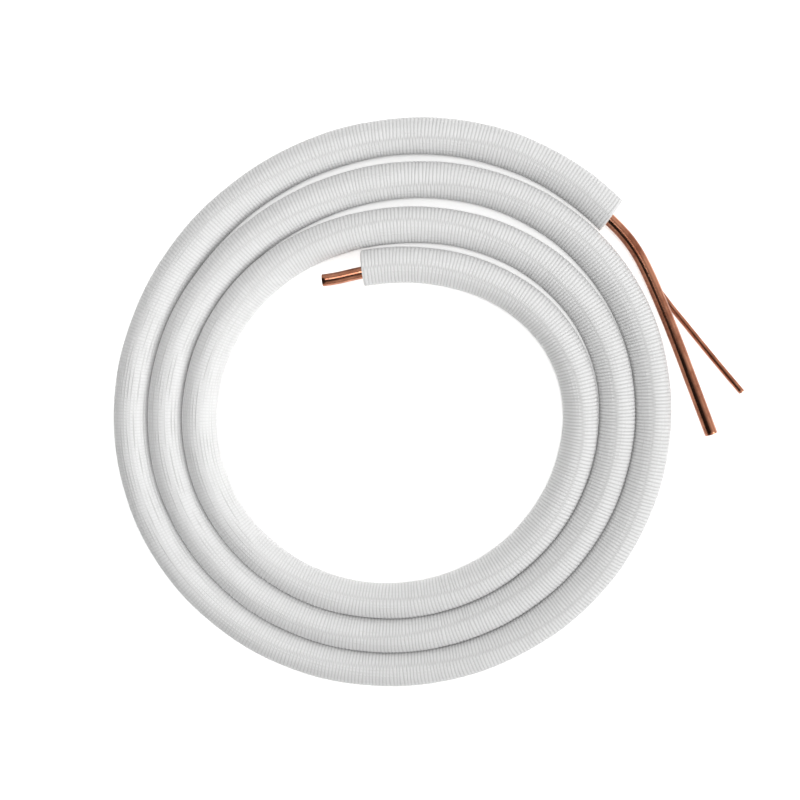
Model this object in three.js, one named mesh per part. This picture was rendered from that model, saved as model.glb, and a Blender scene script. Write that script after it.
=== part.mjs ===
// Mini split line set: a suction pipe and a liquid pipe of soft copper, each in its own foam sleeve.
// Both are wound by hand into one flat coil. The suction pipe's turns lie on the liquid pipe's turns.
// Millimetres, +Z up. Angles are in degrees round the coil's middle, counter-clockwise from +X.
import * as THREE from 'three';

// Pipes
const suctionOutside = 12.7;
const suctionWall = 0.8;
const liquidOutside = 6.35;
const liquidWall = 0.8;

// Sleeves
const suctionFoam = 12.7;
const liquidFoam = 6.35;
const boreClearance = 0.45; // between a pipe and the foam round it
const suctionGive = 2.5; // how much narrower the foam is where its turns press together
const suctionLean = 4; // how far winding pulls the pipe from the sleeve's middle to the coil's middle
const restClearance = 0.3; // between the two coils

// Coil
const coilRadius = 293.2; // of the pipes' centre line at angle 0, before the first turn
const turnClearance = 0.8; // between turns, on average, where they lie side by side
const outerMouth = 43.5; // the angle where the sleeves end outside
const stationsPerTurn = 36;
const stationsWound = 114;
const ovalRise = 5.7; // the hand-wound coil is a little oval
const ovalAngle = 35;
const lobeRise = 1.2; // and a little three-cornered
const lobeAngle = 70;

// Where a turn stands away from the one outside it: how far, round which angle, over which half span
const standOffs = [
  { open: 8, angle: 89, span: 78 },
  { open: 10, angle: 74, span: 71 },
  { open: 6.5, angle: 60, span: 70 },
];

// Bare ends, as steps ahead of the sleeve's mouth and away from the coil's middle
const suctionOuterEnd = [
  [14, 0.5], [28, 0.1], [42, -1.7], [56, -4.9], [70, -9.2], [95, -18],
  [120, -27.3], [146, -37.5], [184, -53], [233, -73],
];
const liquidOuterEnd = [
  [15, 1.8], [30, 1.6], [45, -0.5], [60, -4], [75, -7.9], [91, -11],
  [107, -12.9], [138, -15.1], [186, -18.4], [229, -20.7],
];
const suctionInnerEnd = [[14, 0.4], [28, 0.6], [43.5, 2]];
const liquidInnerEnd = [[13, 0.8], [26, 0.8], [39.5, 1.4]];

// Sides of the sections, each a regular polygon that stands on a flat
const suctionSleeveSides = 12;
const liquidSleeveSides = 8;
const suctionSides = 8;
const liquidSides = 6;

const suctionSleeveTall = suctionOutside + 2 * suctionFoam;
const suctionSleeveWide = suctionSleeveTall - suctionGive;
const liquidSleeveTall = liquidOutside + 2 * liquidFoam;
const liquidHeight = liquidSleeveTall / 2;
const suctionHeight = liquidSleeveTall + restClearance + suctionSleeveTall / 2;
const turnPitch = suctionSleeveWide + turnClearance;
const liquidShift = suctionLean; // the liquid coil lies under the middle of the suction sleeve

// A curve whose rings stand exactly at its points, so that the facets of neighbouring turns line up.
class StationCurve extends THREE.CatmullRomCurve3 {
  getUtoTmapping(u) {
    return u;
  }
}

// How far the turns inside stand-offs lie further in, at an angle that counts on from turn to turn.
function standOffSum(angle) {
  let sum = 0;
  standOffs.forEach(({ open, angle: middle, span }, turn) => {
    const first = 360 * (turn + 1) + middle;
    const apart = angle - first - 360 * Math.round((angle - first) / 360);
    if (angle > first - 180 && Math.abs(apart) < span) {
      sum += open * (1 + Math.cos(Math.PI * apart / span)) / 2;
    }
  });
  return sum;
}

function routeRadius(angle) {
  const around = THREE.MathUtils.degToRad(angle);
  const oval = ovalRise * Math.cos(2 * (around - THREE.MathUtils.degToRad(ovalAngle)));
  const lobes = lobeRise * Math.cos(3 * (around - THREE.MathUtils.degToRad(lobeAngle)));
  return coilRadius - turnPitch * angle / 360 + oval + lobes - standOffSum(angle);
}

function outward(angle) {
  const around = THREE.MathUtils.degToRad(angle);
  return new THREE.Vector3(Math.cos(around), Math.sin(around), 0);
}

// The wound part of a pipe's centre line, from the outer mouth to the inner one.
function woundPoints(shift) {
  const points = [];
  for (let station = 0; station <= stationsWound; station += 1) {
    const angle = outerMouth + station * 360 / stationsPerTurn;
    points.push(outward(angle).multiplyScalar(routeRadius(angle) + shift));
  }
  return points;
}

// A bare end beyond a mouth; sense is -1 at the outer mouth and 1 at the inner one.
function barePoints(mouth, angle, sense, steps) {
  const out = outward(angle);
  const ahead = new THREE.Vector3(-out.y, out.x, 0).multiplyScalar(sense);
  return steps.map(([along, away]) => (
    mouth.clone().addScaledVector(ahead, along).addScaledVector(out, away)));
}

function pipeRoute(shift, outerEnd, innerEnd) {
  const wound = woundPoints(shift);
  const innerMouth = outerMouth + stationsWound * 360 / stationsPerTurn;
  const outer = barePoints(wound[0], outerMouth, -1, outerEnd).reverse();
  const inner = barePoints(wound[stationsWound], innerMouth, 1, innerEnd);
  return new StationCurve([...outer, ...wound, ...inner]);
}

// A polygon measured across its flats. Along a route its x runs down and its y to the coil's middle.
function sectionPoints(sides, tall, wide, shift = 0) {
  const points = [];
  for (let side = 0; side < sides; side += 1) {
    const turn = (side + 0.5) * 2 * Math.PI / sides;
    const reach = 0.5 / Math.cos(Math.PI / sides);
    points.push(new THREE.Vector2(
      tall * reach * Math.cos(turn),
      wide * reach * Math.sin(turn) + shift,
    ));
  }
  return points;
}

function tube(route, outline, bore) {
  const section = new THREE.Shape(outline);
  section.holes.push(new THREE.Path(bore));
  return new THREE.ExtrudeGeometry(section, {
    steps: route.points.length - 1,
    extrudePath: route,
  });
}

function copperMaterial() {
  return new THREE.MeshStandardMaterial({ color: 0xb8734b, roughness: 0.28, metalness: 1 });
}

function foamMaterial() {
  return new THREE.MeshStandardMaterial({ color: 0xdedddb, roughness: 0.6, metalness: 0 });
}

function addPiece(name, geometry, material, height) {
  const mesh = new THREE.Mesh(geometry, material);
  mesh.name = name;
  mesh.position.z = height;
  lineSet.add(mesh);
}

// A drawn copper tube, open at both plain cut ends.
function pipe(outside, wall, sides, shift, outerEnd, innerEnd) {
  const inside = outside - 2 * wall;
  return tube(
    pipeRoute(shift, outerEnd, innerEnd),
    sectionPoints(sides, outside, outside),
    sectionPoints(sides, inside, inside),
  );
}

// An extruded foam tube round the wound part of a pipe. Its middle stands outside the pipe's by lean.
function sleeve(pipeOutside, pipeSides, shift, sides, tall, wide, lean) {
  const bore = pipeOutside + 2 * boreClearance;
  return tube(
    new StationCurve(woundPoints(shift)),
    sectionPoints(sides, tall, wide, -lean),
    sectionPoints(pipeSides, bore, bore),
  );
}

const lineSet = new THREE.Group();

addPiece(
  'suction_pipe',
  pipe(suctionOutside, suctionWall, suctionSides, 0, suctionOuterEnd, suctionInnerEnd),
  copperMaterial(),
  suctionHeight,
);
addPiece(
  'suction_insulation',
  sleeve(
    suctionOutside, suctionSides, 0,
    suctionSleeveSides, suctionSleeveTall, suctionSleeveWide, suctionLean,
  ),
  foamMaterial(),
  suctionHeight,
);
addPiece(
  'liquid_pipe',
  pipe(liquidOutside, liquidWall, liquidSides, liquidShift, liquidOuterEnd, liquidInnerEnd),
  copperMaterial(),
  liquidHeight,
);
addPiece(
  'liquid_insulation',
  sleeve(
    liquidOutside, liquidSides, liquidShift,
    liquidSleeveSides, liquidSleeveTall, liquidSleeveTall, 0,
  ),
  foamMaterial(),
  liquidHeight,
);

// The origin lies on the floor under the middle of the set.
const reach = new THREE.Box3().setFromObject(lineSet, true);
const middle = reach.getCenter(new THREE.Vector3());
lineSet.position.set(-middle.x, -middle.y, -reach.min.z);

export default lineSet;
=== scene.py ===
"""Looks of a mini split line set: two soft copper pipes in white foam, wound into a flat coil."""
import math

import bpy
import numpy as np
from mathutils import Matrix, Vector


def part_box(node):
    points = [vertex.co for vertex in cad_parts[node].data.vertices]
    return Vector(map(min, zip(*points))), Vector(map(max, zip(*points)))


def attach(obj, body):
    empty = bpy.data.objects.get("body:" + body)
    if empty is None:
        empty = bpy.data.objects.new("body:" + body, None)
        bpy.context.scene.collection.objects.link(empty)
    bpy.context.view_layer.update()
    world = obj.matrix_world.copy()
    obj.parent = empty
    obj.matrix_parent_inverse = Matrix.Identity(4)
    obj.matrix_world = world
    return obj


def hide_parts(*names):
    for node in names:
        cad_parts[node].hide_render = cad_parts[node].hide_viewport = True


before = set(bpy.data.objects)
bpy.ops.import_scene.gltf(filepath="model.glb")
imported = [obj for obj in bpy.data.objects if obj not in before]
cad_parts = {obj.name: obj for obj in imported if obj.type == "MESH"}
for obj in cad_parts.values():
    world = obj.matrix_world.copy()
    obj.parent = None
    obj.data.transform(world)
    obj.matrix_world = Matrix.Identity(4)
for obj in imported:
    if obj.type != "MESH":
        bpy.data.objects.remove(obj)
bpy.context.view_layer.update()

# Suction pipe
# Half-inch refrigeration tube of soft copper, drawn, annealed and wound by hand into three turns.
# Both ends are bare and cut square. The tube keeps its curve by itself, like a bent rod.
MM = 0.001
PIPE_OUTSIDE = 12.7
PIPE_WALL = 0.8
PIPE_SIDES = 28
RING_STEP = 4.0
BORE_RING_EVERY = 4
CUT_BURR = 0.18
PIPE_EDGE_ANGLE = 55
COPPER_BRIGHT = "#C88A6E"
COPPER_DULLED = "#955B44"
DIE_LINES = (46.0, 0.12, 1.0)
DIE_LINE_DEPTH = 0.05
HANDLED_SCALE = 38.0

# The coil's route. Angles are in degrees and count on from turn to turn, from the outer mouth inwards.
COIL_RADIUS = 293.2
TURN_PITCH = 36.4
OUTER_MOUTH = 43.5
INNER_MOUTH = 1183.5
LINE_SPACING = 2.0
OVAL_RISE = 5.7
OVAL_ANGLE = 35
LOBE_RISE = 1.2
LOBE_ANGLE = 70

# Where a turn stands away from the one outside it: how far, round which angle, over which half span.
STAND_OFFS = ((8.0, 89, 78), (10.0, 74, 71), (6.5, 60, 70))

# The bare ends, as steps ahead of the sleeve's mouth and away from the coil's middle.
SUCTION_OUTER_END = (
    (14, 0.5), (28, 0.1), (42, -1.7), (56, -4.9), (70, -9.2), (95, -18),
    (120, -27.3), (146, -37.5), (184, -53), (233, -73),
)
SUCTION_INNER_END = ((14, 0.4), (28, 0.6), (43.5, 2))

# The liquid pipe's coil lies under the middle of the suction sleeve, so its box shows the coil's middle.
LIQUID_SHIFT = 4.0
LIQUID_SLEEVE_OUTSIDE = 19.05
STATION_SPACING = 10


def box_middle(node):
    low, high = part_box(node)
    return [(low[axis] + high[axis]) / 2 for axis in range(3)]


def stand_off_sum(angle):
    """How far a turn lies further in than even winding would put it."""
    total = np.zeros_like(angle)
    for turn, (opening, middle, span) in enumerate(STAND_OFFS):
        first = 360 * (turn + 1) + middle
        apart = angle - first - 360 * np.round((angle - first) / 360)
        swell = opening * (1 + np.cos(np.pi * apart / span)) / 2
        total += np.where((angle > first - 180) & (np.abs(apart) < span), swell, 0)
    return total


def route_radius(angle):
    around = np.radians(angle)
    oval = OVAL_RISE * np.cos(2 * (around - math.radians(OVAL_ANGLE)))
    lobes = LOBE_RISE * np.cos(3 * (around - math.radians(LOBE_ANGLE)))
    even = COIL_RADIUS - TURN_PITCH * angle / 360
    return even + oval + lobes - stand_off_sum(angle)


def spiral(angle, shift):
    """Points of the coil at these angles, shift outside the suction pipe's centre line."""
    around = np.radians(angle)
    radius = route_radius(angle) + shift
    return np.stack([radius * np.cos(around), radius * np.sin(around)], axis=1)


def wound_line(shift):
    """The wound part of a centre line, from the outer mouth to the inner one."""
    count = round((INNER_MOUTH - OUTER_MOUTH) / LINE_SPACING) + 1
    return spiral(np.linspace(OUTER_MOUTH, INNER_MOUTH, count), shift)


def bare_line(mouth, angle, sense, steps):
    """Points of a bare end from its steps ahead of the mouth and away from the coil's middle."""
    around = math.radians(angle)
    out = np.array([math.cos(around), math.sin(around)])
    ahead = sense * np.array([-out[1], out[0]])
    return np.array([mouth + along * ahead + away * out for along, away in steps])


def pipe_line(shift, outer_end, inner_end):
    wound = wound_line(shift)
    outer = bare_line(wound[0], OUTER_MOUTH, -1, outer_end)[::-1]
    inner = bare_line(wound[-1], INNER_MOUTH, 1, inner_end)
    return np.concatenate([outer, wound, inner])


def run_along(points):
    """How far along a line each of its points lies."""
    gaps = np.linalg.norm(np.diff(points, axis=0), axis=1)
    return np.concatenate([[0], np.cumsum(gaps)])


def smooth_line(points, places):
    """A smooth line through points, taken at places along it, with its directions."""
    knots = run_along(points)
    slopes = np.gradient(points, knots, axis=0, edge_order=2)
    span = np.clip(np.searchsorted(knots, places, side="right") - 1, 0, len(points) - 2)
    gap = np.diff(knots)[span][:, None]
    t = (places - knots[span])[:, None] / gap
    line = (
        (2 * t**3 - 3 * t**2 + 1) * points[span] + (t**3 - 2 * t**2 + t) * gap * slopes[span]
        + (3 * t**2 - 2 * t**3) * points[span + 1] + (t**3 - t**2) * gap * slopes[span + 1]
    )
    heading = np.gradient(line, places, axis=0, edge_order=2)
    heading /= np.linalg.norm(heading, axis=1)[:, None]
    return line, heading


def coil_middle():
    """Where the middle that the angles go round lies in the frame, from the lower sleeve's box."""
    stations = np.arange(OUTER_MOUTH, INNER_MOUTH + 1, STATION_SPACING)
    reach = spiral(stations, LIQUID_SHIFT + LIQUID_SLEEVE_OUTSIDE / 2)
    lean = (reach.min(axis=0) + reach.max(axis=0)) / 2
    return np.array(box_middle("liquid_insulation")[:2]) / MM - lean


COIL_MIDDLE = coil_middle()
SUCTION_HEIGHT = box_middle("suction_pipe")[2] / MM


def rings_at(line, heading, out, up, height, ahead=0.0):
    """Rings of points round a line: out, up and ahead are each point's reaches from it."""
    outward = np.stack([heading[:, 1], -heading[:, 0]], axis=1)
    ahead = np.broadcast_to(ahead, out.shape)
    rings = np.empty(out.shape + (3,))
    rings[:, :, :2] = (
        (line + COIL_MIDDLE)[:, None, :]
        + out[:, :, None] * outward[:, None, :] + ahead[:, :, None] * heading[:, None, :])
    rings[:, :, 2] = height + up
    return rings


def round_rings(line, heading, radius, sides, height):
    turn = 2 * np.pi * np.arange(sides) / sides
    radius = radius[:, None]
    return rings_at(line, heading, radius * np.cos(turn), radius * np.sin(turn), height)


def closed_skin(name, rings, along, edge_angle, facing=None):
    """A mesh round a loop of rings, each joined to the next and the last to the first.

    along holds the second map coordinate of each ring, or of each of its corners. facing gives the
    material of the faces after each ring.
    """
    count, sides = rings.shape[:2]
    ring = np.arange(count)[:, None]
    side = np.arange(sides)[None, :]
    beside = (side + 1) % sides
    onward = (ring + 1) % count
    faces = np.stack(
        [ring * sides + side, ring * sides + beside, onward * sides + beside, onward * sides + side],
        axis=2)
    mesh = bpy.data.meshes.new(name)
    mesh.from_pydata((rings.reshape(-1, 3) * MM).tolist(), [], faces.reshape(-1, 4).tolist())
    if along.ndim == 1:
        along = np.broadcast_to(along[:, None], (count, sides + 1))
    after = np.roll(along, -1, axis=0)
    around = np.broadcast_to(np.arange(sides + 1) / sides, along.shape)
    spots = np.stack([
        np.stack([around[:, :-1], along[:, :-1]], axis=2),
        np.stack([around[:, 1:], along[:, 1:]], axis=2),
        np.stack([around[:, 1:], after[:, 1:]], axis=2),
        np.stack([around[:, :-1], after[:, :-1]], axis=2),
    ], axis=2)
    mesh.uv_layers.new(name="lay").data.foreach_set("uv", spots.astype(np.float32).ravel())
    if facing is not None:
        mesh.polygons.foreach_set("material_index", np.repeat(facing, sides).astype(np.int32))
    mesh.polygons.foreach_set("use_smooth", np.ones(count * sides, dtype=bool))
    mesh.set_sharp_from_angle(angle=math.radians(edge_angle))
    mesh.update()
    mesh.validate()
    piece = bpy.data.objects.new(name, mesh)
    bpy.context.scene.collection.objects.link(piece)
    return piece


def pipe_skin(name, points, outside, sides, height):
    """A drawn tube with its bore open and its cut edges just broken by the cutter."""
    whole = run_along(points)[-1]
    even = np.linspace(0, whole, round(whole / RING_STEP) + 1)
    fringe = np.array([0, CUT_BURR])
    places = np.concatenate([fringe, even[1:-1], whole - fringe[::-1]])
    line, heading = smooth_line(points, places)
    outer_radius = np.full(len(places), outside / 2)
    outer_radius[[0, -1]] -= CUT_BURR
    outer = round_rings(line, heading, outer_radius, sides, height)
    last = len(places) - 1
    bore_rings = np.concatenate([np.arange(0, last + 1, BORE_RING_EVERY), [1, last - 1, last]])
    kept = np.unique(bore_rings)[::-1]
    inner_radius = np.full(len(kept), outside / 2 - PIPE_WALL)
    inner_radius[[0, -1]] += CUT_BURR / 2
    inner = round_rings(line[kept], heading[kept], inner_radius, sides, height)
    along = np.concatenate([places, places[kept]]) / outside
    return closed_skin(name, np.concatenate([outer, inner]), along, PIPE_EDGE_ANGLE)


def linear(hex_colour):
    """A linear colour from its sRGB hex value."""
    channels = [int(hex_colour[place:place + 2], 16) / 255 for place in (1, 3, 5)]
    return [c / 12.92 if c <= 0.04045 else ((c + 0.055) / 1.055) ** 2.4 for c in channels] + [1.0]


def add_node(tree, kind, inputs=None, **settings):
    """Add a node, set its properties, and set each input to a value or link it to a socket."""
    node = tree.nodes.new(kind)
    for name, value in settings.items():
        setattr(node, name, value)
    for name, value in (inputs or {}).items():
        if isinstance(value, bpy.types.NodeSocket):
            tree.links.new(value, node.inputs[name])
        else:
            node.inputs[name].default_value = value
    return node


def new_material(name):
    material = bpy.data.materials.new(name)
    material.use_nodes = True
    tree = material.node_tree
    tree.nodes.clear()
    return material, tree


def drawn_copper(name):
    """Soft copper as drawn: a clear pinkish metal with fine lines along it, dulled by handling.

    The die's lines are drawn about a millimetre apart so that they show, and the dulled patches are
    about as wide as a thumb.
    """
    material, tree = new_material(name)
    lay = add_node(tree, "ShaderNodeUVMap", uv_map="lay")
    place = add_node(tree, "ShaderNodeTexCoord")
    die_lay = add_node(
        tree, "ShaderNodeMapping", {"Vector": lay.outputs["UV"], "Scale": DIE_LINES})
    die_noise = add_node(
        tree, "ShaderNodeTexNoise",
        {"Vector": die_lay.outputs["Vector"], "Scale": 1.0, "Detail": 4.0, "Roughness": 0.6})
    handled = add_node(
        tree, "ShaderNodeTexNoise",
        {"Vector": place.outputs["Object"], "Scale": HANDLED_SCALE, "Detail": 5.0, "Roughness": 0.62})
    dulled = add_node(
        tree, "ShaderNodeMapRange",
        {"Value": handled.outputs["Fac"], "From Min": 0.42, "From Max": 0.68})
    colour = add_node(
        tree, "ShaderNodeMix",
        {0: dulled.outputs["Result"], 6: linear(COPPER_BRIGHT), 7: linear(COPPER_DULLED)},
        data_type="RGBA")
    rough = add_node(
        tree, "ShaderNodeMapRange",
        {"Value": handled.outputs["Fac"], "From Min": 0.35, "From Max": 0.7,
         "To Min": 0.15, "To Max": 0.3})
    bump = add_node(
        tree, "ShaderNodeBump",
        {"Height": die_noise.outputs["Fac"], "Strength": 0.25, "Distance": DIE_LINE_DEPTH * MM})
    shader = add_node(
        tree, "ShaderNodeBsdfPrincipled",
        {"Base Color": colour.outputs[2], "Metallic": 1.0, "Roughness": rough.outputs["Result"],
         "Normal": bump.outputs["Normal"]})
    add_node(tree, "ShaderNodeOutputMaterial", {"Surface": shader.outputs["BSDF"]})
    return material


suction_pipe = pipe_skin(
    "suction_pipe_tube", pipe_line(0, SUCTION_OUTER_END, SUCTION_INNER_END),
    PIPE_OUTSIDE, PIPE_SIDES, SUCTION_HEIGHT)
suction_pipe.data.materials.append(drawn_copper("drawn soft copper, suction pipe"))
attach(suction_pipe, "root")
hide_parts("suction_pipe")

# Suction sleeve
# One tube of white closed-cell polyethylene foam, extruded and skinned with a film that a pair of hot
# rollers emboss: a rib round the tube every three and a half millimetres, and finer grooves along it.
# It is round where it is free, and its sides are flat where the turns press on each other.
SLEEVE_OUTSIDE = 38.1
SLEEVE_SIDES = 24
SLEEVE_LEAN = 4.0
SLEEVE_EDGE_ANGLE = 78
SLEEVE_SEED = 11
BORE_CLEARANCE = 0.45
BORE_LIP = 1.04
BORE_EVERY_RIBS = 12
RIB_PITCH = 3.56
RIB_RISE = 0.36
RINGS_PER_RIB = 3
GROOVE_PITCH = 3.5
EMBOSSED_DEPTH = 0.42
FILM, CUT = 0, 1

# Where turns lie side by side: the gap they leave, how softly they flatten, and how far the ribs give.
PRESS_GAP = 0.06
PRESS_SOFTNESS = 0.5
PRESS_DEPTH = 0.8
PRESSED_AWAY = 0.65
FREE_SWELL = 0.4
NEIGHBOUR_OVERLAP = 3

# Slow uneven waves along the sleeve: their lengths, and how far they swing together.
SEAM_WAVE = ((930, 410), 0.32)
RIB_PHASE_WAVE = ((260, 97, 61), 9)
RIB_DEPTH_WAVE = ((143, 59, 23, 11), 0.7)
GIRTH_WAVE = ((310, 170, 83), 0.35)
RIB_WANDER = 0.12

# The seam between the rollers' two rows of ribs, and the side that handling has worn flat.
SEAM_ANGLE = 98
SEAM_FADE = 2.5
WORN_ANGLE = 188
WORN_SPAN = 48
WORN_AWAY = 0.62

# Each mouth lies a little back from the sleeve's full length, and its knife cut leans, in degrees.
OUTER_CUT = (0.5, 9.0)
INNER_CUT = (0.5, 4.0)
SLANT_FADE = 22.0
CUT_PROUD = 0.42
KNIFE_EDGE = ((0.21, 0.21), (0.7, CUT_PROUD))

# The film's white and the painted shade in its valleys and grooves, and the painted shade in the cut
# foam's cells and the white of their walls.
FILM_WHITE = "#DADADA"
FILM_PAINTED_SHADE = "#C2C2C1"
CELL_PAINTED_SHADE = "#E2E0DC"
CELL_WHITE = "#F4F3F0"
FOAM_IOR = 1.49
FILM_GRAIN_SCALE = 260.0
CELL_SCALE = 1900.0
CELL_DEPTH = 0.25
LIGHT_REACH = 5.0
GROOVE_LAY = (0.9, 0.07)
VALLEY_EDGE = 0.1
VALLEY_BOTTOM = 0.95


def slow_wave(places, seed, lengths, rise):
    """A smooth uneven wave along a length, as a sum of a few slow ones from seeded phases."""
    phases = np.random.default_rng(seed).uniform(0, 2 * np.pi, len(lengths))
    waves = [np.sin(2 * np.pi * places / long + phase) for long, phase in zip(lengths, phases)]
    return rise * np.sum(waves, axis=0) / len(lengths)


def half_pitches(angle, free):
    """Half the way to the turn outside and inside, no more than the free half width."""
    outside = np.full(len(angle), free)
    inside = np.full(len(angle), free)
    has_outer = angle - 360 >= OUTER_MOUTH - NEIGHBOUR_OVERLAP
    has_inner = angle + 360 <= INNER_MOUTH + NEIGHBOUR_OVERLAP
    outward_gap = (route_radius(angle - 360) - route_radius(angle)) / 2 - PRESS_GAP
    inward_gap = (route_radius(angle) - route_radius(angle + 360)) / 2 - PRESS_GAP
    outside[has_outer] = np.minimum(outward_gap[has_outer], free)
    inside[has_inner] = np.minimum(inward_gap[has_inner], free)
    return outside, inside


def soft_limit(reach, limit):
    return reach - PRESS_SOFTNESS * np.logaddexp(0, (reach - limit) / PRESS_SOFTNESS)


def sleeve_skin(name, shift, lean, outside, sides, bore, height, pressed, seed):
    """The embossed foam tube: ribbed outside, plain bore, and a knife cut at both mouths."""
    (outer_back, outer_slant), (inner_back, inner_slant) = OUTER_CUT, INNER_CUT
    wound = wound_line(shift + lean)
    run = run_along(wound)
    whole = run[-1]
    ribs = round(whole / RIB_PITCH)
    places = np.linspace(outer_back, whole - inner_back, ribs * RINGS_PER_RIB + 1)
    line, heading = smooth_line(wound, places)
    angle = np.interp(places, run, np.linspace(OUTER_MOUTH, INNER_MOUTH, len(wound)))
    skew = (
        math.tan(math.radians(outer_slant)) * np.exp((places[0] - places) / SLANT_FADE)
        - math.tan(math.radians(inner_slant)) * np.exp((places - places[-1]) / SLANT_FADE))

    # Two rows of ribs meet at a seam that wanders along the top, half a pitch out of step.
    free = outside / 2
    turn = 2 * np.pi * (np.arange(sides) + 0.5) / sides
    seam = math.radians(SEAM_ANGLE) + slow_wave(places, seed, *SEAM_WAVE)
    beside_seam = free * np.sin(turn[None, :] - seam[:, None])
    phase = slow_wave(places, seed + 1, *RIB_PHASE_WAVE)[:, None]
    wander = RIB_WANDER * np.sin(2 * turn[None, :] + phase)
    rib = np.arange(len(places))[:, None] / RINGS_PER_RIB + wander
    worn = np.exp(-(((angle - WORN_ANGLE + 180) % 360 - 180) / WORN_SPAN) ** 2)[:, None]
    depth = 1 + slow_wave(places, seed + 2, *RIB_DEPTH_WAVE)[:, None]
    rise = RIB_RISE * depth * (1 - WORN_AWAY * worn)
    relief = rise * np.cos(2 * np.pi * rib) * np.tanh(beside_seam / SEAM_FADE)

    radius = free - RIB_RISE + slow_wave(places, seed + 3, *GIRTH_WAVE)[:, None]
    out = radius * np.cos(turn)
    up = radius * np.sin(turn)
    if pressed:
        outer_limit, inner_limit = half_pitches(angle, free + FREE_SWELL)
        room = soft_limit(out, outer_limit[:, None] - RIB_RISE)
        room = -soft_limit(-room, inner_limit[:, None] - RIB_RISE)
        pressing = np.clip(np.abs(out - room) / PRESS_DEPTH, 0, 1)
        relief = relief * (1 - PRESSED_AWAY * pressing)
        out = room
    out = out + relief * np.cos(turn)
    up = up + relief * np.sin(turn)
    outer = rings_at(line, heading, out, up, height, skew[:, None] * out)

    # The knife's edge is a little rounded, then the cut face runs in to the bore.
    bore_out = (bore / 2 * np.cos(turn) - lean)[None]
    bore_up = (bore / 2 * np.sin(turn))[None]
    mouths = []
    for end, sense in ((-1, 1), (0, -1)):
        at_end = line[end][None], heading[end][None]
        face = []
        for shrink, beyond in KNIFE_EDGE:
            keep = 1 - shrink / free
            face.append(rings_at(
                *at_end, out[end][None] * keep, up[end][None] * keep, height,
                skew[end] * out[end][None] + sense * beyond))
        face.append(rings_at(
            *at_end, (bore_out + lean) * BORE_LIP - lean, bore_up * BORE_LIP, height,
            skew[end] * bore_out + sense * CUT_PROUD))
        mouths.append(face if end == -1 else face[::-1])

    coarse = np.arange(0, len(places), BORE_EVERY_RIBS * RINGS_PER_RIB)
    coarse[-1] = len(places) - 1
    coarse = coarse[::-1]
    all_round = (len(coarse), sides)
    inner = rings_at(
        line[coarse], heading[coarse], np.broadcast_to(bore_out, all_round),
        np.broadcast_to(bore_up, all_round), height, skew[coarse][:, None] * bore_out)

    rings = np.concatenate([outer] + mouths[0] + [inner] + mouths[1])
    along = np.concatenate([
        np.concatenate([rib, rib[:, :1]], axis=1),
        np.full((len(mouths[0]), sides + 1), ribs, float),
        np.broadcast_to((places[coarse] / RIB_PITCH)[:, None], (len(coarse), sides + 1)),
        np.zeros((len(mouths[1]), sides + 1)),
    ])
    facing = np.full(len(rings), FILM)
    facing[len(outer):] = CUT
    sleeve = closed_skin(name, rings, along, SLEEVE_EDGE_ANGLE, facing)
    for attribute, values in (("beside_seam", beside_seam), ("worn_flat", worn)):
        spread = np.zeros((len(rings), sides))
        spread[:len(outer)] = values
        points = sleeve.data.attributes.new(attribute, "FLOAT", "POINT")
        points.data.foreach_set("value", spread.ravel())
    return sleeve


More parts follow.
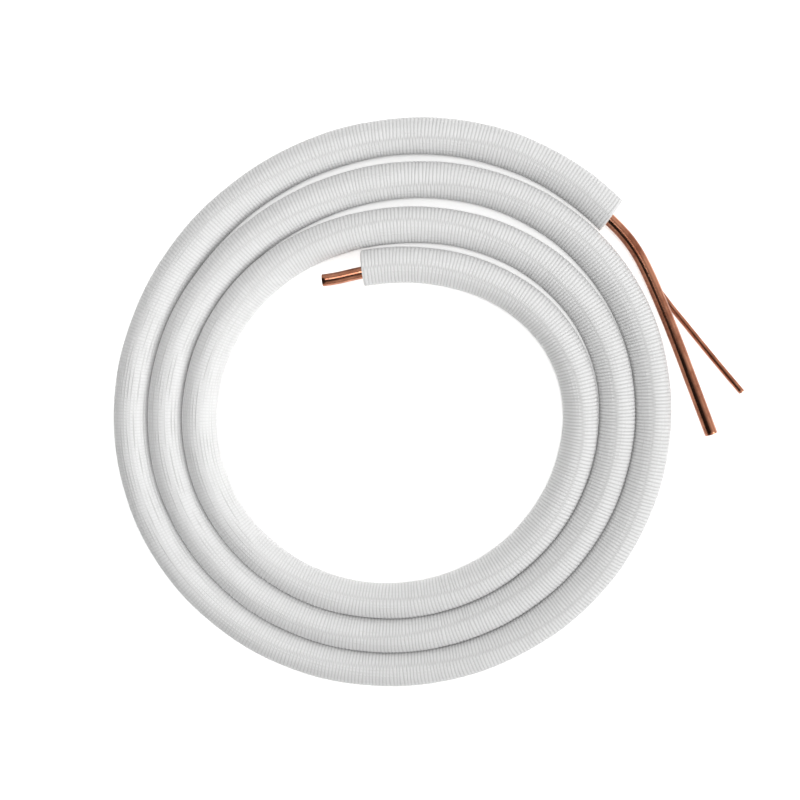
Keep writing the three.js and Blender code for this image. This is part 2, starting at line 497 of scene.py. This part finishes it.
def embossed_foam(name, outside):
    """Polyethylene foam under its film: soft white, with a low satin gloss, and painted shade in its
    valleys and grooves.

    Light goes some millimetres into the foam, so its shadows are soft. The film's own grain is finer
    than can show, and is drawn as patches four millimetres wide.
    """
    material, tree = new_material(name)
    lay = add_node(tree, "ShaderNodeUVMap", uv_map="lay")
    place = add_node(tree, "ShaderNodeTexCoord")
    parts = add_node(tree, "ShaderNodeSeparateXYZ", {"Vector": lay.outputs["UV"]})
    grain = add_node(
        tree, "ShaderNodeTexNoise",
        {"Vector": place.outputs["Object"], "Scale": FILM_GRAIN_SCALE, "Detail": 4.0,
         "Roughness": 0.6})

    # The rollers' lengthwise grooves, each pressed to its own depth. They show most where it is worn.
    grooves = round(math.pi * outside / GROOVE_PITCH)
    groove_turn = add_node(
        tree, "ShaderNodeMath", {0: parts.outputs["X"], 1: 2 * math.pi * grooves},
        operation="MULTIPLY")
    groove_wave = add_node(tree, "ShaderNodeMath", {0: groove_turn.outputs[0]}, operation="COSINE")
    groove = add_node(
        tree, "ShaderNodeMapRange",
        {"Value": groove_wave.outputs[0], "From Min": 0.0, "From Max": 1.0})
    groove_lay = add_node(
        tree, "ShaderNodeMapping",
        {"Vector": lay.outputs["UV"], "Scale": (grooves * GROOVE_LAY[0], GROOVE_LAY[1], 1.0)})
    groove_noise = add_node(
        tree, "ShaderNodeTexNoise",
        {"Vector": groove_lay.outputs["Vector"], "Scale": 1.0, "Detail": 1.0})
    groove_press = add_node(
        tree, "ShaderNodeMapRange",
        {"Value": groove_noise.outputs["Fac"], "From Min": 0.38, "From Max": 0.62,
         "To Min": 0.1, "To Max": 1.1})
    worn_flat = add_node(tree, "ShaderNodeAttribute", attribute_name="worn_flat")
    groove_show = add_node(
        tree, "ShaderNodeMapRange",
        {"Value": worn_flat.outputs["Fac"], "To Min": 0.75, "To Max": 1.0})
    groove_full = add_node(
        tree, "ShaderNodeMath", {0: groove.outputs[0], 1: groove_press.outputs[0]},
        operation="MULTIPLY")
    groove_depth = add_node(
        tree, "ShaderNodeMath", {0: groove_full.outputs[0], 1: groove_show.outputs[0]},
        operation="MULTIPLY")

    # The valleys between the ribs. Both rows show for a few millimetres each side of their seam.
    rib_turn = add_node(
        tree, "ShaderNodeMath", {0: parts.outputs["Y"], 1: 2 * math.pi}, operation="MULTIPLY")
    rib_wave = add_node(tree, "ShaderNodeMath", {0: rib_turn.outputs[0]}, operation="COSINE")
    beside = add_node(tree, "ShaderNodeAttribute", attribute_name="beside_seam")
    rows = []
    for sense in (1, -1):
        valley = add_node(
            tree, "ShaderNodeMapRange",
            {"Value": rib_wave.outputs[0], "From Min": sense * VALLEY_EDGE,
             "From Max": -sense * VALLEY_BOTTOM})
        reach = add_node(
            tree, "ShaderNodeMapRange",
            {"Value": beside.outputs["Fac"], "From Min": -sense * SEAM_FADE, "From Max": 0.0})
        rows.append(add_node(
            tree, "ShaderNodeMath", {0: valley.outputs[0], 1: reach.outputs[0]},
            operation="MULTIPLY"))
    rib_show = add_node(
        tree, "ShaderNodeMapRange",
        {"Value": worn_flat.outputs["Fac"], "To Min": 1.0, "To Max": 0.4})
    full_valleys = add_node(
        tree, "ShaderNodeMath", {0: rows[0].outputs[0], 1: rows[1].outputs[0]},
        operation="MAXIMUM")
    valleys = add_node(
        tree, "ShaderNodeMath", {0: full_valleys.outputs[0], 1: rib_show.outputs[0]},
        operation="MULTIPLY")

    # Relief from the deeper of the two, with the grain on it.
    pressed_in = add_node(
        tree, "ShaderNodeMath", {0: valleys.outputs[0], 1: groove_depth.outputs[0]},
        operation="MAXIMUM")
    film_height = add_node(
        tree, "ShaderNodeMath", {0: 1.0, 1: pressed_in.outputs[0]}, operation="SUBTRACT")
    grain_height = add_node(
        tree, "ShaderNodeMath", {0: grain.outputs["Fac"], 1: 0.35, 2: film_height.outputs[0]},
        operation="MULTIPLY_ADD")
    bump = add_node(
        tree, "ShaderNodeBump",
        {"Height": grain_height.outputs[0], "Strength": 1.0, "Distance": EMBOSSED_DEPTH * MM})

    # The film's colour is painted greyer in the valleys, and in the grooves where it is worn: painted
    # shade in these hollows.
    painted_groove_shade = add_node(
        tree, "ShaderNodeMath", {0: groove_depth.outputs[0], 1: worn_flat.outputs["Fac"]},
        operation="MULTIPLY")
    painted_shade_mask = add_node(
        tree, "ShaderNodeMath", {0: valleys.outputs[0], 1: painted_groove_shade.outputs[0]},
        operation="MAXIMUM")
    shade = add_node(
        tree, "ShaderNodeMapRange", {"Value": painted_shade_mask.outputs[0], "To Min": 0.0, "To Max": 0.8})
    colour = add_node(
        tree, "ShaderNodeMix",
        {0: shade.outputs[0], 6: linear(FILM_WHITE), 7: linear(FILM_PAINTED_SHADE)}, data_type="RGBA")
    rough = add_node(
        tree, "ShaderNodeMapRange",
        {"Value": grain.outputs["Fac"], "To Min": 0.42, "To Max": 0.6})
    shader = add_node(
        tree, "ShaderNodeBsdfPrincipled",
        {"Base Color": colour.outputs[2], "Roughness": rough.outputs[0], "IOR": FOAM_IOR,
         "Subsurface Weight": 0.55, "Subsurface Radius": (1.0, 1.0, 1.0),
         "Subsurface Scale": LIGHT_REACH * MM, "Sheen Weight": 0.4, "Sheen Roughness": 0.35,
         "Normal": bump.outputs["Normal"]})
    add_node(tree, "ShaderNodeOutputMaterial", {"Surface": shader.outputs["BSDF"]})
    return material


def cut_foam(name):
    """The same foam where a knife opened its cells: dead matt, with pits half a millimetre wide."""
    material, tree = new_material(name)
    place = add_node(tree, "ShaderNodeTexCoord")
    cells = add_node(
        tree, "ShaderNodeTexVoronoi", {"Vector": place.outputs["Object"], "Scale": CELL_SCALE})
    bump = add_node(
        tree, "ShaderNodeBump",
        {"Height": cells.outputs["Distance"], "Strength": 0.7, "Distance": CELL_DEPTH * MM})
    # The pits are painted darker than their walls: painted shade in these hollows.
    colour = add_node(
        tree, "ShaderNodeMix",
        {0: cells.outputs["Distance"], 6: linear(CELL_PAINTED_SHADE), 7: linear(CELL_WHITE)},
        data_type="RGBA")
    shader = add_node(
        tree, "ShaderNodeBsdfPrincipled",
        {"Base Color": colour.outputs[2], "Roughness": 0.9, "IOR": FOAM_IOR,
         "Normal": bump.outputs["Normal"]})
    add_node(tree, "ShaderNodeOutputMaterial", {"Surface": shader.outputs["BSDF"]})
    return material


suction_sleeve = sleeve_skin(
    "suction_foam_sleeve", 0, SLEEVE_LEAN, SLEEVE_OUTSIDE, SLEEVE_SIDES,
    PIPE_OUTSIDE + 2 * BORE_CLEARANCE, SUCTION_HEIGHT, True, SLEEVE_SEED)
suction_sleeve.data.materials.append(
    embossed_foam("embossed polyethylene foam, suction sleeve", SLEEVE_OUTSIDE))
suction_sleeve.data.materials.append(cut_foam("knife-cut polyethylene foam"))
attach(suction_sleeve, "root")
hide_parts("suction_insulation")

# Liquid pipe
# Quarter-inch tube of the same soft copper, drawn and annealed. It is wound together with the suction
# pipe and lies under it, and both its ends are bare and cut square.
LIQUID_OUTSIDE = 6.35
LIQUID_SIDES = 20
LIQUID_HEIGHT = box_middle("liquid_pipe")[2] / MM
LIQUID_OUTER_END = (
    (15, 1.8), (30, 1.6), (45, -0.5), (60, -4), (75, -7.9), (91, -11),
    (107, -12.9), (138, -15.1), (186, -18.4), (229, -20.7),
)
LIQUID_INNER_END = ((13, 0.8), (26, 0.8), (39.5, 1.4))

liquid_pipe = pipe_skin(
    "liquid_pipe_tube", pipe_line(LIQUID_SHIFT, LIQUID_OUTER_END, LIQUID_INNER_END),
    LIQUID_OUTSIDE, LIQUID_SIDES, LIQUID_HEIGHT)
liquid_pipe.data.materials.append(drawn_copper("drawn soft copper, liquid pipe"))
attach(liquid_pipe, "root")
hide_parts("liquid_pipe")

# Liquid sleeve
# The same extruded and embossed polyethylene foam in a smaller tube. It carries the coil above it, and
# its own turns rest on the floor.
LIQUID_SLEEVE_SIDES = 16
LIQUID_SLEEVE_SEED = 23

liquid_sleeve = sleeve_skin(
    "liquid_foam_sleeve", LIQUID_SHIFT, 0, LIQUID_SLEEVE_OUTSIDE, LIQUID_SLEEVE_SIDES,
    LIQUID_OUTSIDE + 2 * BORE_CLEARANCE, LIQUID_HEIGHT, False, LIQUID_SLEEVE_SEED)
liquid_sleeve.data.materials.append(
    embossed_foam("embossed polyethylene foam, liquid sleeve", LIQUID_SLEEVE_OUTSIDE))
liquid_sleeve.data.materials.append(cut_foam("knife-cut polyethylene foam, liquid sleeve"))
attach(liquid_sleeve, "root")
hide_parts("liquid_insulation")

# Floor and sky
# A plain pale floor that glows a little, as a light table does, under a soft white sky. A dark wall
# stands at the picture's left, which the bare copper mirrors as its dark stripe.
FLOOR_WIDE = 30.0
FLOOR_PAINT = "#FAFAF9"
FLOOR_GLOW = 0.34
WHITE_LIGHT = "#FFFFFF"
DARK_WALL_WAY = (-0.70, -0.26, 0.67)
SKY_BRIGHTNESS = 0.78

floor_mesh = bpy.data.meshes.new("floor")
floor_corners = [(-1, -1), (1, -1), (1, 1), (-1, 1)]
floor_mesh.from_pydata(
    [(x * FLOOR_WIDE / 2, y * FLOOR_WIDE / 2, 0) for x, y in floor_corners], [], [(0, 1, 2, 3)])
floor = bpy.data.objects.new("floor", floor_mesh)
bpy.context.scene.collection.objects.link(floor)
floor_material, floor_tree = new_material("pale painted floor")
floor_shader = add_node(
    floor_tree, "ShaderNodeBsdfPrincipled",
    {"Base Color": linear(FLOOR_PAINT), "Roughness": 0.9,
     "Emission Color": linear(WHITE_LIGHT), "Emission Strength": FLOOR_GLOW})
add_node(floor_tree, "ShaderNodeOutputMaterial", {"Surface": floor_shader.outputs["BSDF"]})
floor_mesh.materials.append(floor_material)

world = bpy.data.worlds.new("studio")
bpy.context.scene.world = world
world.use_nodes = True
sky = world.node_tree
sky.nodes.clear()
sky_way = add_node(sky, "ShaderNodeTexCoord")
sky_parts = add_node(sky, "ShaderNodeSeparateXYZ", {"Vector": sky_way.outputs["Generated"]})
sky_dark = add_node(
    sky, "ShaderNodeVectorMath",
    {0: sky_way.outputs["Generated"], 1: DARK_WALL_WAY}, operation="DOT_PRODUCT")

# The sky dims towards the floor, overhead, towards the picture's left and at the dark wall.
sky_strength = None
for value, low, high, least, most in (
        (sky_parts.outputs["Z"], 0.05, 0.35, 0.45, 1.0),
        (sky_parts.outputs["Z"], 0.70, 1.00, 1.00, 0.42),
        (sky_parts.outputs["X"], -1.0, 1.0, 0.80, 1.2),
        (sky_dark.outputs["Value"], 0.52, 0.78, 1.00, 0.03)):
    share = add_node(
        sky, "ShaderNodeMapRange",
        {"Value": value, "From Min": low, "From Max": high, "To Min": least, "To Max": most},
        interpolation_type="SMOOTHSTEP")
    sky_strength = add_node(
        sky, "ShaderNodeMath",
        {0: share.outputs[0], 1: sky_strength.outputs[0] if sky_strength else SKY_BRIGHTNESS},
        operation="MULTIPLY")
sky_light = add_node(
    sky, "ShaderNodeBackground",
    {"Color": linear(WHITE_LIGHT), "Strength": sky_strength.outputs[0]})
add_node(sky, "ShaderNodeOutputWorld", {"Surface": sky_light.outputs["Background"]})

# Camera and lights
# The camera looks almost straight down from a metre. A window lies low at the picture's right, a small
# lamp over the camera fills the gaps between the turns, and a soft box beyond the coil is there for the
# highlight on the bare copper. The small lamp is kept out of mirrors, where it would be a false spot.
PICTURE_WIDE = 800
PICTURE_LENS_PX = 961.5
SENSOR_WIDE = 36.0
CAMERA_AWAY = 1000 * MM
CAMERA_TILT_UP = math.radians(3.7)
CAMERA_TILT_RIGHT = math.radians(3.2)
AIM_FROM_COIL_MIDDLE = (1.9 * MM, 17.1 * MM)
WINDOW_WAY = (0.76, -0.44, 0.46)
WINDOW_STRENGTH = 0.86
WINDOW_SPREAD = math.radians(25)
LAMP_OVER_CAMERA = 0.28
LAMP_AIM_SHIFT = 0.01
LAMP_WIDE = 0.12
LAMP_WATTS = 6.0
SOFT_BOX_BEYOND = 0.36
SOFT_BOX_HEIGHT = 1.2
SOFT_BOX_WIDE = 0.6
SOFT_BOX_WATTS = 4.2


def area_light(name, spot, aim, wide, watts):
    lamp = bpy.data.lights.new(name, "AREA")
    lamp.shape = "DISK"
    lamp.size = wide
    lamp.energy = watts
    light = bpy.data.objects.new(name, lamp)
    light.location = spot
    way = [goal - start for goal, start in zip(aim, spot)]
    flat = math.hypot(way[0], way[1])
    light.rotation_euler = (math.atan2(flat, -way[2]), 0, math.atan2(way[1], way[0]) - math.pi / 2)
    bpy.context.scene.collection.objects.link(light)
    return light


window_light = bpy.data.lights.new("window", "SUN")
window_light.energy = WINDOW_STRENGTH
window_light.angle = WINDOW_SPREAD
window = bpy.data.objects.new("window", window_light)
window.rotation_euler = Vector(WINDOW_WAY).to_track_quat("Z", "Y").to_euler()
bpy.context.scene.collection.objects.link(window)

camera_data = bpy.data.cameras.new("camera")
camera_data.sensor_width = SENSOR_WIDE
camera_data.lens = SENSOR_WIDE * PICTURE_LENS_PX / PICTURE_WIDE
camera = bpy.data.objects.new("camera", camera_data)
aim_x = COIL_MIDDLE[0] * MM + AIM_FROM_COIL_MIDDLE[0]
aim_y = COIL_MIDDLE[1] * MM + AIM_FROM_COIL_MIDDLE[1]
camera_back = Vector((math.sin(CAMERA_TILT_RIGHT), math.sin(CAMERA_TILT_UP), 0))
camera_back.z = math.sqrt(1 - camera_back.length_squared)
camera_right = Vector((0, 1, 0)).cross(camera_back).normalized()
camera_up = camera_back.cross(camera_right)
camera.rotation_euler = Matrix((camera_right, camera_up, camera_back)).transposed().to_euler()
camera.location = Vector((aim_x, aim_y, SUCTION_HEIGHT * MM)) + CAMERA_AWAY * camera_back
bpy.context.scene.collection.objects.link(camera)
bpy.context.scene.camera = camera
bpy.context.scene.view_settings.view_transform = "Standard"

lamp_x, lamp_y, camera_z = camera.location
fill = area_light(
    "lamp over the camera", (lamp_x, lamp_y, camera_z + LAMP_OVER_CAMERA),
    (lamp_x, lamp_y - LAMP_AIM_SHIFT, 0), LAMP_WIDE, LAMP_WATTS)
fill.visible_glossy = False
area_light(
    "soft box beyond the coil", (aim_x, aim_y + SOFT_BOX_BEYOND, SOFT_BOX_HEIGHT),
    (aim_x, aim_y, 0), SOFT_BOX_WIDE, SOFT_BOX_WATTS)
